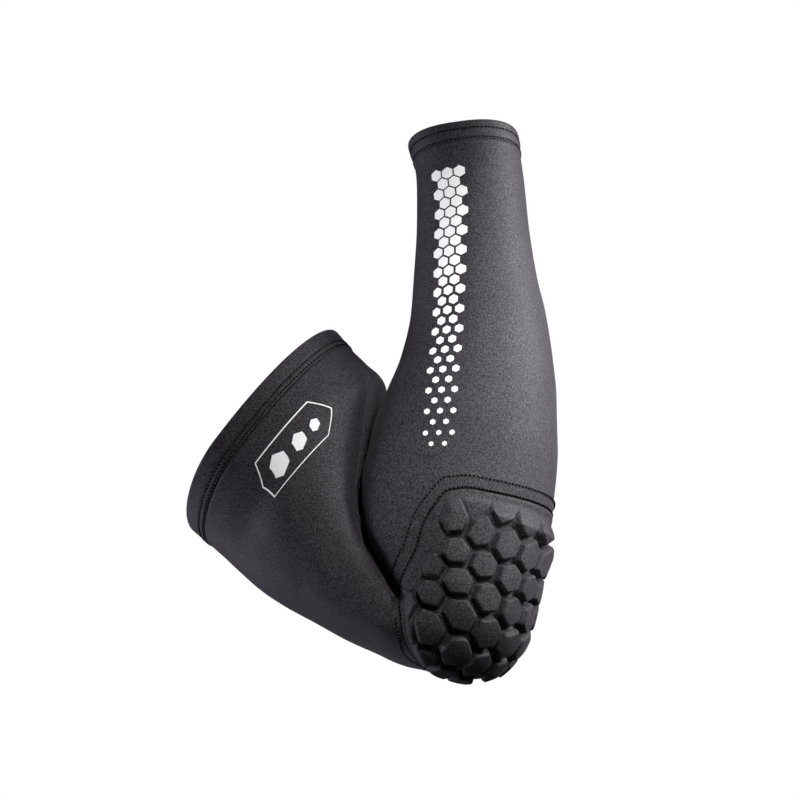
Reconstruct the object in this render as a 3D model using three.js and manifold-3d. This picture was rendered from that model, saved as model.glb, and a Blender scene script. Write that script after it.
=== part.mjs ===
// Elbow pad for floorball: a bent arm sleeve of stretch knit with a moulded foam pad on the elbow.
// Millimetres, +Z up. The bend lies in the XZ plane: the forearm rises along +Z and the upper arm
// leans towards -X. The origin is the middle of the elbow joint of the arm that wears the sleeve.
import * as THREE from "three";
import { mergeVertices } from "three/addons/utils/BufferGeometryUtils.js";
import { TessellateModifier } from "three/addons/modifiers/TessellateModifier.js";
import Module from "manifold-3d";

const wasm = await Module();
wasm.setup();

// Driving sizes of the sleeve, over the cloth
const forearmLength = 233.5; // elbow centre to the edge of the wrist hem
const upperArmLength = 132; // elbow centre to the edge of the upper hem
const flexAngle = 49; // degrees between the two limbs
const wristWidth = 55;
const wristDepth = 55;
const forearmWidth = 90;
const forearmDepth = 88;
const elbowReach = 54; // from the crook to the tip of the elbow
const elbowDepth = 82;
const upperArmWidth = 118;
const upperArmDepth = 102;
const crookForward = 30; // the end of the crook's fold, in front of the elbow centre
const crookDrop = 7;
const foldRadius = 1.2; // inside the fold of the crook
const clothWall = 1.2;

// Hems: the folded edges, thicker than the cloth
const wristHemHeight = 10;
const upperHemHeight = 12;
const hemExtra = 0.4; // how far a hem stands proud of the cloth on each side
const wristSlant = 5; // degrees that each hem slants across its limb
const upperSlant = 5.6;

// The pad, measured on the flat before it is wrapped round the elbow
const padWidth = 134;
const padHeight = 121;
const padRim = 1.3; // thickness of its edge, where it is sewn
const padBase = 2.4; // foam between the cells
const cellHeight = 4; // above the base
const cellAcross = 14.8; // across flats, at the foot
const cellTop = 0.84; // how wide its flat top is, as a share of its foot
const cellInset = 2.6; // a cell is left out where its middle is nearer the pad's edge than this
const trimInset = 3.2; // how far inside the pad's edge the cells' cut-off slope starts
const trimSlope = 4.3; // how much further in it reaches their full height
const cellPitch = 17.4;
const cellShift = 0.4; // where the first row of cells falls, as a share of the pitch
const seamWidth = 5.4;
const seamThickness = 1.1;
const seatGap = 0.3; // clearance between pieces that lie on each other

// How the pad is wrapped: its flat middle points this way from a place inside the elbow
const wrapTurn = 57; // degrees from +X towards -Y
const wrapDrop = 40; // degrees below the horizon
const wrapRoll = 5; // degrees that the pad is turned in its own plane
const wrapRadius = 68; // of the curve that the middle of the pad is bent to
const wrapTighten = 0.16; // how much faster it turns towards the edges
const wrapForward = 25; // in front of the elbow centre
const wrapRise = 12; // above it

const sleeveSides = 30;
const padStep = 9; // longest edge of the pad's mesh
const seamStep = 8;

// Each row is one cross-section. along: share of the limb's length. front and back: how far it
// reaches in front of and behind the limb's axis, as shares of the limb's width. depth: share of
// the limb's depth. frontPower and backPower: 2 is an ellipse, more is squarer, less is pointed.
// belly: where between front and back it is deepest. slant: share of the hem's slant, if any.
const wristHemEnd = 1 - wristHemHeight / forearmLength;
const wristRows = [
  { along: 1, front: 0.513, back: 0.503, depth: 1, frontPower: 2.5, backPower: 2.5, belly: 0.5, slant: 1 },
  {
    along: wristHemEnd, front: 0.46, back: 0.52, depth: 0.98,
    frontPower: 2.4, backPower: 2.3, belly: 0.5, slant: 1,
  },
  { along: 0.9, front: 0.44, back: 0.547, depth: 1, frontPower: 2.2, backPower: 2.1, belly: 0.5, slant: 0.7 },
  { along: 0.8, front: 0.442, back: 0.583, depth: 1.06, frontPower: 2, backPower: 2, belly: 0.5, slant: 0.3 },
];
const forearmRows = [
  { along: 0.68, front: 0.285, back: 0.402, depth: 0.75, frontPower: 2, backPower: 2, belly: 0.5 },
  { along: 0.6, front: 0.301, back: 0.444, depth: 0.83, frontPower: 2, backPower: 2, belly: 0.5 },
  { along: 0.5, front: 0.357, back: 0.476, depth: 0.91, frontPower: 2.1, backPower: 2, belly: 0.5 },
  { along: 0.41, front: 0.438, back: 0.494, depth: 0.97, frontPower: 2.4, backPower: 2, belly: 0.47 },
  { along: 0.31, front: 0.5, back: 0.494, depth: 1.0, frontPower: 2.9, backPower: 2, belly: 0.43 },
  { along: 0.2, front: 0.52, back: 0.468, depth: 1.0, frontPower: 3.8, backPower: 1.95, belly: 0.38 },
  { along: 0.1, front: 0.485, back: 0.403, depth: 0.98, frontPower: 4.4, backPower: 1.9, belly: 0.38 },
  { along: 0.035, front: 0.415, back: 0.35, depth: 0.95, frontPower: 4.8, backPower: 1.9, belly: 0.42 },
];
// turn: share of the way round the elbow. reach: share of elbowReach.
const elbowRows = [
  { turn: 0.0, reach: 1.057, depth: 1.0, frontPower: 5.0, backPower: 1.9, belly: 0.42 },
  { turn: 0.12, reach: 1.017, depth: 0.99, frontPower: 5.0, backPower: 1.9, belly: 0.43 },
  { turn: 0.23, reach: 0.94, depth: 0.98, frontPower: 5.0, backPower: 1.9, belly: 0.44 },
  { turn: 0.34, reach: 0.835, depth: 0.98, frontPower: 5.0, backPower: 2.0, belly: 0.45 },
  { turn: 0.46, reach: 0.675, depth: 0.98, frontPower: 4.6, backPower: 2.2, belly: 0.46 },
  { turn: 0.59, reach: 0.53, depth: 0.98, frontPower: 4.2, backPower: 2.4, belly: 0.48 },
  { turn: 0.73, reach: 0.478, depth: 0.99, frontPower: 4.0, backPower: 2.5, belly: 0.5 },
  { turn: 0.87, reach: 0.46, depth: 1.0, frontPower: 4.0, backPower: 2.5, belly: 0.5 },
  { turn: 1.0, reach: 0.475, depth: 1.0, frontPower: 4.0, backPower: 2.4, belly: 0.5 },
];
const upperHemEnd = 1 - upperHemHeight / upperArmLength;
const upperArmRows = [
  { along: 0.25, front: 0.5, back: 0.468, depth: 0.83, frontPower: 3.4, backPower: 2.3, belly: 0.5 },
  { along: 0.38, front: 0.5, back: 0.497, depth: 0.87, frontPower: 2.8, backPower: 2.2, belly: 0.5 },
  { along: 0.5, front: 0.5, back: 0.524, depth: 0.91, frontPower: 2.2, backPower: 2.1, belly: 0.52 },
  { along: 0.61, front: 0.465, back: 0.538, depth: 0.95, frontPower: 2.1, backPower: 2, belly: 0.55, slant: 0.1 },
  { along: 0.73, front: 0.44, back: 0.537, depth: 0.98, frontPower: 2, backPower: 2, belly: 0.58, slant: 0.4 },
  { along: 0.83, front: 0.47, back: 0.533, depth: 1.0, frontPower: 2.1, backPower: 1.95, belly: 0.63, slant: 0.7 },
  {
    along: upperHemEnd, front: 0.48, back: 0.532, depth: 1,
    frontPower: 2.1, backPower: 1.9, belly: 0.67, slant: 0.85,
  },
  { along: 1.0, front: 0.497, back: 0.53, depth: 1.0, frontPower: 2.1, backPower: 1.9, belly: 0.7, slant: 0.8 },
];

// The pad's outline on the flat, seen from outside. right: share of padWidth. up: share of
// padHeight. Both are counted from the pad's flat middle.
const padOutline = [
  { right: -0.03, up: 0.59 },
  { right: -0.12, up: 0.5 },
  { right: -0.175, up: 0.37 },
  { right: -0.225, up: 0.24 },
  { right: -0.255, up: 0.13 },
  { right: -0.245, up: 0.03 },
  { right: -0.2, up: -0.09 },
  { right: -0.125, up: -0.22 },
  { right: -0.04, up: -0.31 },
  { right: 0.08, up: -0.37 },
  { right: 0.23, up: -0.39 },
  { right: 0.39, up: -0.37 },
  { right: 0.53, up: -0.29 },
  { right: 0.62, up: -0.16 },
  { right: 0.655, up: -0.01 },
  { right: 0.64, up: 0.14 },
  { right: 0.58, up: 0.26 },
  { right: 0.49, up: 0.35 },
  { right: 0.38, up: 0.43 },
  { right: 0.25, up: 0.51 },
  { right: 0.1, up: 0.575 },
  { right: 0.02, up: 0.59 },
];

const radians = THREE.MathUtils.degToRad;
const mix = THREE.MathUtils.lerp;

// A curve through evenly numbered values that never overshoots them
function smoothValue(values, position) {
  const last = values.length - 1;
  const at = Math.min(Math.max(position, 0), last - 1e-9);
  const k = Math.floor(at);
  const rise = (i) => values[Math.min(i + 1, last)] - values[Math.min(i, last)];
  const slope = (i) => {
    if (i === 0) return rise(0);
    if (i === last) return rise(last - 1);
    const [before, after] = [rise(i - 1), rise(i)];
    return before * after <= 0 ? 0 : (2 * before * after) / (before + after);
  };
  const t = at - k;
  const [a, b] = [values[k], values[k + 1]];
  const near = (1 + 2 * t) * (1 - t) ** 2 * a + t * (1 - t) ** 2 * slope(k);
  const far = t * t * (3 - 2 * t) * b - t * t * (1 - t) * slope(k + 1);
  return near + far;
}

// A cross-section: its front and back ends in the XZ plane and the shape between them
function section(row, front, back, depth) {
  const { frontPower, backPower, belly } = row;
  return { fx: front.x, fz: front.y, bx: back.x, bz: back.y, half: depth / 2, frontPower, backPower, belly };
}

const crook = new THREE.Vector2(-crookForward, -crookDrop);

// The limb's axis and the way across it, towards the other limb, turned by a slant
function limbFrame(angle, side, slant) {
  const lean = radians(angle);
  const across = radians(angle) + side * radians(slant);
  return {
    axis: new THREE.Vector2(-Math.sin(lean), Math.cos(lean)),
    forward: new THREE.Vector2(Math.cos(across), Math.sin(across)).multiplyScalar(-side),
  };
}

function limbSection(row, limb) {
  const { axis, forward } = limbFrame(limb.angle, limb.side, (row.slant ?? 0) * limb.slant);
  const centre = axis.multiplyScalar(row.along * limb.length);
  const front = centre.clone().addScaledVector(forward, row.front * limb.width);
  const back = centre.clone().addScaledVector(forward, -row.back * limb.width);
  return section(row, front, back, row.depth * limb.depth);
}

const wrist = {
  angle: 0,
  side: 1,
  slant: wristSlant,
  length: forearmLength,
  width: wristWidth,
  depth: wristDepth,
};
const forearm = { ...wrist, width: forearmWidth, depth: forearmDepth };
const upperArm = {
  angle: flexAngle,
  side: -1,
  slant: -upperSlant,
  length: upperArmLength,
  width: upperArmWidth,
  depth: upperArmDepth,
};

function elbowSection(row) {
  const angle = -row.turn * (Math.PI - radians(flexAngle));
  const outward = new THREE.Vector2(Math.cos(angle), Math.sin(angle));
  const front = crook.clone().addScaledVector(outward, foldRadius);
  const back = crook.clone().addScaledVector(outward, row.reach * elbowReach);
  return section(row, front, back, row.depth * elbowDepth);
}

const forearmSide = [
  ...wristRows.map((row) => limbSection(row, wrist)),
  ...forearmRows.map((row) => limbSection(row, forearm)),
  elbowSection(elbowRows[0]),
];

// How far forward the forearm's cloth reaches at a height, which the upper arm lies against
function forearmFront(z) {
  const heights = forearmSide.map((s) => s.fz);
  const next = heights.findIndex((h) => h <= z);
  if (next === 0) return -Infinity;
  if (next < 0) return crook.x;
  const share = (heights[next - 1] - z) / (heights[next - 1] - heights[next]);
  return smoothValue(forearmSide.map((s) => s.fx), next - 1 + share);
}

// An upper-arm section gives way where it would press into the forearm
function upperArmSection(row) {
  const clear = (reach) => {
    const s = limbSection({ ...row, front: reach }, upperArm);
    return s.fx <= forearmFront(s.fz) - 2 * foldRadius || s.fz > forearmLength;
  };
  let reach = row.front;
  if (!clear(reach)) {
    let low = -row.back;
    for (let i = 0; i < 30; i++) {
      const middle = (low + reach) / 2;
      if (clear(middle)) low = middle;
      else reach = middle;
    }
    reach = low;
  }
  return limbSection({ ...row, front: reach }, upperArm);
}

// All cross-sections from the wrist to the upper hem
const sections = [
  ...forearmSide,
  ...elbowRows.slice(1).map(elbowSection),
  ...upperArmRows.map(upperArmSection),
];

function sectionAt(position) {
  const result = {};
  for (const key of Object.keys(sections[0])) {
    result[key] = smoothValue(sections.map((s) => s[key]), position);
  }
  return result;
}

// The closed outline of a cross-section, grown by offset; negative shrinks it
function ring(s, offset, sides) {
  const front = new THREE.Vector2(s.fx, s.fz);
  const back = new THREE.Vector2(s.bx, s.bz);
  const across = back.clone().sub(front).normalize();
  front.addScaledVector(across, -offset);
  back.addScaledVector(across, offset);
  const width = back.distanceTo(front);
  const points = [];
  for (let i = 0; i < sides; i++) {
    const angle = (2 * Math.PI * i) / sides;
    const [c, n] = [Math.cos(angle), Math.sin(angle)];
    const power = 2 / (c >= 0 ? s.backPower : s.frontPower);
    const swing = Math.abs(c) ** power * (c >= 0 ? 1 - s.belly : -s.belly);
    const middle = front.clone().addScaledVector(across, (s.belly + swing) * width);
    const y = -Math.sign(n) * Math.abs(n) ** power * (s.half + offset);
    points.push(new THREE.Vector3(middle.x, y, middle.y));
  }
  return points;
}

function meshFrom(points, faces) {
  const geometry = new THREE.BufferGeometry();
  const values = points.flatMap((p) => p.toArray());
  geometry.setAttribute("position", new THREE.Float32BufferAttribute(values, 3));
  geometry.setIndex(faces.flat());
  return geometry;
}

// A closed body from loops of points: each loop joins the next, and the last joins the first
function ringBody(loops) {
  const sides = loops[0].length;
  const faces = [];
  loops.forEach((loop, i) => {
    const [here, there] = [i * sides, ((i + 1) % loops.length) * sides];
    for (let j = 0; j < sides; j++) {
      const k = (j + 1) % sides;
      faces.push([here + j, here + k, there + k], [here + j, there + k, there + j]);
    }
  });
  return meshFrom(loops.flat(), faces);
}

function positionsBetween(first, last, steps) {
  return Array.from({ length: steps + 1 }, (_, i) => mix(first, last, i / steps));
}

// A tube wall between two offsets of the sleeve's surface
function tube(positions, outer, inner) {
  const outside = positions.map((p) => ring(sectionAt(p), outer, sleeveSides));
  const inside = positions.map((p) => ring(sectionAt(p), inner, sleeveSides)).reverse();
  return ringBody([...outside, ...inside]);
}

const lastRow = sections.length - 1;
const hemRow = 1; // the row where the wrist hem ends, and the same counted back from the upper hem

// How far along the rows a clearance reaches, next to a row
function gapShare(row, other) {
  const [a, b] = [sections[row], sections[other]];
  return seatGap / Math.min(Math.hypot(a.fx - b.fx, a.fz - b.fz), Math.hypot(a.bx - b.bx, a.bz - b.bz));
}

const sleeveStart = hemRow + gapShare(hemRow, hemRow + 1);
const sleeveEnd = lastRow - hemRow - gapShare(lastRow - hemRow, lastRow - hemRow - 1);
const bend = [wristRows.length + 4, lastRow - upperArmRows.length + 3]; // stepped more closely here
const sleevePositions = [sleeveStart];
for (let row = hemRow + 1; row < lastRow - hemRow; row++) {
  sleevePositions.push(row);
  if (row >= bend[0] && row < bend[1]) sleevePositions.push(row + 0.5);
}
sleevePositions.push(sleeveEnd);
const sleeveGeometry = tube(sleevePositions, 0, -clothWall);

// A hem is the cloth folded back on itself, rounded over at its edge
function hem(edge, end) {
  const turn = mix(edge, end, 0.12);
  const positions = [turn, mix(edge, end, 0.5), end];
  const outside = positions.map((p) => ring(sectionAt(p), hemExtra, sleeveSides));
  const inside = positions.map((p) => ring(sectionAt(p), -clothWall - hemExtra, sleeveSides)).reverse();
  const fold = ring(sectionAt(edge), -clothWall / 2, sleeveSides);
  const loops = [...outside, ...inside, fold];
  return ringBody(end > edge ? loops : loops.reverse());
}

// The sleeve's outer face, closely stepped, that the pad is laid on
function skin() {
  const positions = positionsBetween(hemRow, lastRow - hemRow, (lastRow - 2 * hemRow) * 4);
  const sides = sleeveSides * 2;
  const loops = positions.map((p) => ring(sectionAt(p), 0, sides));
  const geometry = ringBody(loops);
  geometry.setIndex(Array.from(geometry.index.array).slice(0, -6 * sides));
  geometry.computeVertexNormals();
  return new THREE.Mesh(geometry, new THREE.MeshBasicMaterial({ side: THREE.DoubleSide }));
}

const elbowSkin = skin();
const wrapCentre = new THREE.Vector3(-wrapForward, 0, wrapRise);
const wrapAxes = wrapFrame();

// The three directions of the pad's flat middle: to the right, up and out
function wrapFrame() {
  const [turn, drop, roll] = [wrapTurn, -wrapDrop, wrapRoll].map(radians);
  const level = Math.cos(drop);
  const out = new THREE.Vector3(level * Math.cos(turn), -level * Math.sin(turn), Math.sin(drop));
  const right = new THREE.Vector3(Math.sin(turn), Math.cos(turn), 0).applyAxisAngle(out, roll);
  const upward = new THREE.Vector3().crossVectors(out, right);
  return { out, right, upward };
}

// Lays a flat point on the elbow, clear of the sleeve's face, at a height above that clearance
const ray = new THREE.Raycaster();
function wrapPoint(x, y, height) {
  const away = Math.hypot(x, y);
  const share = away / wrapRadius;
  const angle = share * (1 + wrapTighten * share * share);
  const spread = away > 1e-6 ? Math.sin(angle) / away : 0;
  const direction = wrapAxes.out.clone().multiplyScalar(Math.cos(angle));
  direction.addScaledVector(wrapAxes.right, spread * x).addScaledVector(wrapAxes.upward, spread * y);
  ray.set(wrapCentre, direction.normalize());
  const hit = ray.intersectObject(elbowSkin)[0];
  const normal = hit.normal.clone();
  if (normal.dot(direction) < 0) normal.negate();
  return hit.point.clone().addScaledVector(normal, 1.7 * seatGap + height);
}

// Splits long edges of a flat body, then wraps it
function wrapBody(geometry, longestEdge) {
  const plain = geometry.index ? geometry.toNonIndexed() : geometry;
  const positions = new THREE.BufferGeometry().setAttribute("position", plain.getAttribute("position"));
  const split = mergeVertices(new TessellateModifier(longestEdge, 10).modify(positions), 1e-3);
  const place = split.getAttribute("position");
  for (let i = 0; i < place.count; i++) {
    place.setXYZ(i, ...wrapPoint(place.getX(i), place.getY(i), place.getZ(i)).toArray());
  }
  return split;
}

// The outline as a closed curve, moved inwards by inset
const outlineCurve = new THREE.CatmullRomCurve3(
  padOutline.map(({ right, up: high }) => new THREE.Vector3(right * padWidth, high * padHeight, 0)), true);
const outlineSteps = 60;
function outlineAt(inset) {
  const across = new THREE.Vector3();
  return Array.from({ length: outlineSteps }, (_, i) => {
    const at = i / outlineSteps;
    across.crossVectors(new THREE.Vector3(0, 0, 1), outlineCurve.getTangentAt(at));
    return outlineCurve.getPointAt(at).addScaledVector(across, inset);
  });
}

// A flat plate through levels of inset and height, from the bottom up
function plate(levels) {
  const loops = levels.map(({ inset, height }) => outlineAt(inset).map((p) => p.setZ(height)));
  const body = ringBody(loops);
  const sides = Array.from(body.index.array).slice(0, -6 * outlineSteps);
  const flat = (loop) => loop.map((p) => new THREE.Vector2(p.x, p.y));
  const cap = (k) => {
    const faces = THREE.ShapeUtils.triangulateShape(flat(loops[k]), []);
    return faces.map((face) => face.map((i) => i + k * outlineSteps));
  };
  const bottom = cap(0).map(([a, b, c]) => [a, c, b]);
  body.setIndex([...sides, ...bottom.flat(), ...cap(loops.length - 1).flat()]);
  return body;
}

// A cell: a hexagonal block with a rounded-off top
function cell(x, y) {
  const foot = cellAcross / Math.sqrt(3);
  const top = padBase + cellHeight;
  const profile = [
    [0, padBase - 0.5],
    [foot, padBase - 0.5],
    [foot * 0.97, mix(padBase, top, 0.6)],
    [foot * cellTop, top],
    [0, top],
  ].map(([r, z]) => new THREE.Vector2(r, z));
  return new THREE.LatheGeometry(profile, 6, Math.PI / 2).rotateX(Math.PI / 2).translate(x, y, 0);
}

function solid(geometry) {
  const bare = geometry.clone().deleteAttribute("normal").deleteAttribute("uv");
  const merged = mergeVertices(bare, 1e-4);
  return new wasm.Manifold(
    new wasm.Mesh({
      numProp: 3,
      vertProperties: new Float32Array(merged.attributes.position.array),
      triVerts: new Uint32Array(merged.index.array),
    }),
  );
}

function geometryOf(made) {
  const mesh = made.getMesh();
  const geometry = new THREE.BufferGeometry();
  geometry.setAttribute("position", new THREE.BufferAttribute(mesh.vertProperties, 3));
  geometry.setIndex(new THREE.BufferAttribute(mesh.triVerts, 1));
  return geometry;
}

// Takes off what would come nearer to the sleeve than the clearance
function clearOfSleeve(geometry) {
  const loops = sleevePositions.map((p) => ring(sectionAt(p), seatGap * 0.9, sleeveSides));
  const body = ringBody(loops);
  const last = (loops.length - 1) * sleeveSides;
  const faces = Array.from(body.index.array).slice(0, -6 * sleeveSides);
  for (let j = 1; j < sleeveSides - 1; j++) faces.push(0, j + 1, j, last, last + j, last + j + 1);
  body.setIndex(faces);
  return geometryOf(solid(geometry).subtract(solid(body)));
}

// Cells in columns, every second column half a pitch up, cut off to a slope at the pad's edge
function padGeometry() {
  const columnPitch = cellPitch * Math.cos(Math.PI / 6);
  const reach = Math.ceil(Math.max(padWidth, padHeight) / columnPitch);
  const edge = outlineAt(cellInset).map((p) => new THREE.Vector2(p.x, p.y));
  let cells = null;
  for (let column = -reach; column <= reach; column++) {
    for (let row = -reach; row <= reach; row++) {
      const x = column * columnPitch;
      const y = (row + cellShift + (column % 2 ? 0.5 : 0)) * cellPitch;
      if (!inside(edge, x, y)) continue;
      const made = solid(cell(x, y));
      cells = cells ? cells.add(made) : made;
    }
  }
  const top = padBase + cellHeight;
  const trim = solid(plate([
    { inset: trimInset, height: padRim - 0.5 },
    { inset: mix(trimInset, trimInset + trimSlope, 0.33), height: padBase + 1 },
    { inset: trimInset + trimSlope, height: top + 0.2 },
  ]));
  const base = solid(plate([
    { inset: 0, height: 0 },
    { inset: 0, height: padRim },
    { inset: 2.2, height: padRim },
    { inset: 3.4, height: padBase },
  ]));
  return clearOfSleeve(wrapBody(geometryOf(base.add(cells.intersect(trim))), padStep));
}

// Whether a flat point lies inside a closed loop
function inside(loop, x, y) {
  let within = false;
  loop.forEach((a, i) => {
    const b = loop[(i + 1) % loop.length];
    if (a.y > y !== b.y > y && x < a.x + ((y - a.y) / (b.y - a.y)) * (b.x - a.x)) within = !within;
  });
  return within;
}

// The seam: a flat strip round the pad
function seamGeometry() {
  const loop = (inset, height) => outlineAt(inset).map((p) => p.setZ(height));
  const inner = -seatGap;
  const outer = -seatGap - seamWidth;
  const corner = 0.15 * seamWidth;
  const strip = ringBody([
    loop(outer, 0),
    loop(outer, seamThickness * 0.6),
    loop(outer + corner, seamThickness),
    loop(inner - corner, seamThickness),
    loop(inner, seamThickness * 0.6),
    loop(inner, 0),
  ]);
  return clearOfSleeve(wrapBody(strip, seamStep));
}

function piece(name, geometry, color, roughness) {
  const material = new THREE.MeshStandardMaterial({ color, roughness, metalness: 0 });
  const mesh = new THREE.Mesh(geometry, material);
  mesh.name = name;
  return mesh;
}

const elbowGuard = new THREE.Group();
elbowGuard.add(
  piece("sleeve", sleeveGeometry, 0x2a282c, 0.7),
  piece("wrist_hem", hem(0, hemRow), 0x2a282c, 0.7),
  piece("upper_hem", hem(lastRow, lastRow - hemRow), 0x2a282c, 0.7),
  piece("elbow_pad", padGeometry(), 0x323135, 0.62),
  piece("pad_seam_band", seamGeometry(), 0x1c1b1e, 0.75),
);
export default elbowGuard;
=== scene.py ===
# %% [markdown]
# # A floorball elbow pad, worn
# The object is a stretch-knit arm sleeve, bent as an arm bends it, with a foam pad of hexagon
# cells wrapped round the elbow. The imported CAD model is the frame: it gives the real size and
# the place of every piece. Each CAD piece is a plain solid, so here each one is replaced by a
# piece with the cloth's folds, stitches and weave.

# %% Load the frame
import math
from collections import namedtuple

import bmesh
import bpy
import numpy as np
from mathutils import Matrix, Vector
from mathutils.bvhtree import BVHTree


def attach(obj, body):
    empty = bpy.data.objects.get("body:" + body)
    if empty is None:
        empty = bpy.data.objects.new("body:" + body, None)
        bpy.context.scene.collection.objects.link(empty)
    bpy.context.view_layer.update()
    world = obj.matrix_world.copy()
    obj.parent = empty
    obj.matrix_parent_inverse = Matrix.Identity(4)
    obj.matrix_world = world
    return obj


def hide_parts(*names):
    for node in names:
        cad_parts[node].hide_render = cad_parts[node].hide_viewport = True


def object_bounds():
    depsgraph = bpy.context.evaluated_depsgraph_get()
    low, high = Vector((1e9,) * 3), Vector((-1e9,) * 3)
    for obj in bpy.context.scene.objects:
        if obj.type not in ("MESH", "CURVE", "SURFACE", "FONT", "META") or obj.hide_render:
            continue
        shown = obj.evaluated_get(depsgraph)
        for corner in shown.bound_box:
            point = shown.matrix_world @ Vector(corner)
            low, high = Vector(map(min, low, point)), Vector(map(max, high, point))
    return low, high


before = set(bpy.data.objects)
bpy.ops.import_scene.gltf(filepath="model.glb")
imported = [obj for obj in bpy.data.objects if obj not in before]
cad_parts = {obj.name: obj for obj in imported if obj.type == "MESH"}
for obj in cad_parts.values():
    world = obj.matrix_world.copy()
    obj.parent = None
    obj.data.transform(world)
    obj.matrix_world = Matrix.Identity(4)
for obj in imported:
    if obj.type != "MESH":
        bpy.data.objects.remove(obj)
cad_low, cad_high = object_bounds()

MM = 0.001
print("CAD box, mm:", [round(1000 * (b - a), 1) for a, b in zip(cad_low, cad_high)])

# %% [markdown]
# ## The camera
# The photograph was taken from a little to the right of the arm and well below it, because both
# hems curve away upwards. A long lens keeps the shape from spreading. The camera is set first, so
# that every later choice can be looked at from the photograph's own place.

# %% Camera
PHOTO_SIZE = 800  # pixels
CAMERA_TURN = math.radians(8)
CAMERA_RISE = math.radians(-17)
CAMERA_AWAY = 1.1
METRES_PER_PIXEL = 0.48 * MM
ELBOW_PIXEL = (468, 592)  # where the frame's origin is in the photograph


def aim_camera():
    """Puts the camera where the photograph was taken from."""
    back = Vector((
        math.sin(CAMERA_TURN) * math.cos(CAMERA_RISE),
        -math.cos(CAMERA_TURN) * math.cos(CAMERA_RISE),
        math.sin(CAMERA_RISE),
    ))
    right = Vector((0, 0, 1)).cross(back).normalized()
    up = back.cross(right)
    pixels_away = CAMERA_AWAY / METRES_PER_PIXEL
    across = (ELBOW_PIXEL[0] - PHOTO_SIZE / 2) / pixels_away
    down = (ELBOW_PIXEL[1] - PHOTO_SIZE / 2) / pixels_away
    place = -CAMERA_AWAY * (-back + across * right - down * up)
    data = bpy.data.cameras.new("camera")
    data.sensor_width = 36
    data.lens = data.sensor_width * pixels_away / PHOTO_SIZE
    camera = bpy.data.objects.new("camera", data)
    turn = Matrix((right, up, back)).transposed().to_4x4()
    camera.matrix_world = Matrix.Translation(place) @ turn
    bpy.context.scene.collection.objects.link(camera)
    bpy.context.scene.camera = camera
    return camera


camera = aim_camera()
print("lens, mm:", round(camera.data.lens, 1))

# %% [markdown]
# ## Floor and light
# The object is cut out on white in the photograph, so the world is plain white to the eye but
# gives only a little of its light. Most of the light comes from a soft lamp close by on the right,
# a bit above: it grazes the forearm, leaves the upper arm in the forearm's shade and the cells
# underneath almost black. Two weak lamps in front, one for the elbow and one for the forearm, fill
# that shade a little. Lamps on the left and behind draw the edges there. The floor looks pale to
# the camera, but sends little light back up, because the underside is so dark.

# %% Floor and light
FLOOR_DROP, FLOOR_RADIUS = 0.6, 4  # metres
FLOOR_TO_LIGHT, FLOOR_TO_EYE = (0.12, 0.12, 0.12, 1), (0.8, 0.8, 0.8, 1)
WHITE = (1, 1, 1, 1)


def seen_by_camera(tree):
    path = tree.nodes.new("ShaderNodeLightPath")
    return path.outputs["Is Camera Ray"]


def add_floor():
    """A pale round floor under the object."""
    mesh = bpy.data.meshes.new("floor")
    bm = bmesh.new()
    bmesh.ops.create_circle(bm, cap_ends=True, segments=96, radius=FLOOR_RADIUS)
    bmesh.ops.translate(bm, verts=bm.verts, vec=(0, 0, -FLOOR_DROP))
    bm.to_mesh(mesh)
    bm.free()
    floor = bpy.data.objects.new("floor", mesh)
    bpy.context.scene.collection.objects.link(floor)
    paint = bpy.data.materials.new("pale_floor")
    paint.use_nodes = True
    tree = paint.node_tree
    shader = tree.nodes["Principled BSDF"]
    tone = tree.nodes.new("ShaderNodeMix")
    tone.data_type = "RGBA"
    tone.inputs["A"].default_value = FLOOR_TO_LIGHT
    tone.inputs["B"].default_value = FLOOR_TO_EYE
    tree.links.new(seen_by_camera(tree), tone.inputs["Factor"])
    tree.links.new(tone.outputs["Result"], shader.inputs["Base Color"])
    shader.inputs["Roughness"].default_value = 0.9
    mesh.materials.append(paint)


def add_lamp(name, turn, rise, away, target, size, watts, colour, spread=180):
    """A soft square lamp. turn: degrees to the right of the front; rise: degrees above target.

    away, target and size are in metres, and spread is the cone of its light in degrees."""
    turn, rise = math.radians(turn), math.radians(rise)
    way = (math.sin(turn) * math.cos(rise), -math.cos(turn) * math.cos(rise), math.sin(rise))
    data = bpy.data.lights.new(name, "AREA")
    data.spread = math.radians(spread)
    data.shape = "SQUARE"
    data.size = size
    data.energy = watts
    data.color = colour
    lamp = bpy.data.objects.new(name, data)
    towards = Vector(way).normalized()
    lamp.location = Vector(target) + towards * away
    lamp.rotation_euler = towards.to_track_quat("Z", "Y").to_euler()
    bpy.context.scene.collection.objects.link(lamp)


def light_world(share):
    """White to the camera; only a share of that reaches the object."""
    world = bpy.data.worlds.new("studio")
    world.use_nodes = True
    bpy.context.scene.world = world
    tree = world.node_tree
    background = tree.nodes["Background"]
    background.inputs["Color"].default_value = WHITE
    strength = tree.nodes.new("ShaderNodeMapRange")
    strength.inputs["To Min"].default_value = share
    strength.inputs["To Max"].default_value = 1.0
    tree.links.new(seen_by_camera(tree), strength.inputs["Value"])
    tree.links.new(strength.outputs["Result"], background.inputs["Strength"])


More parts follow.
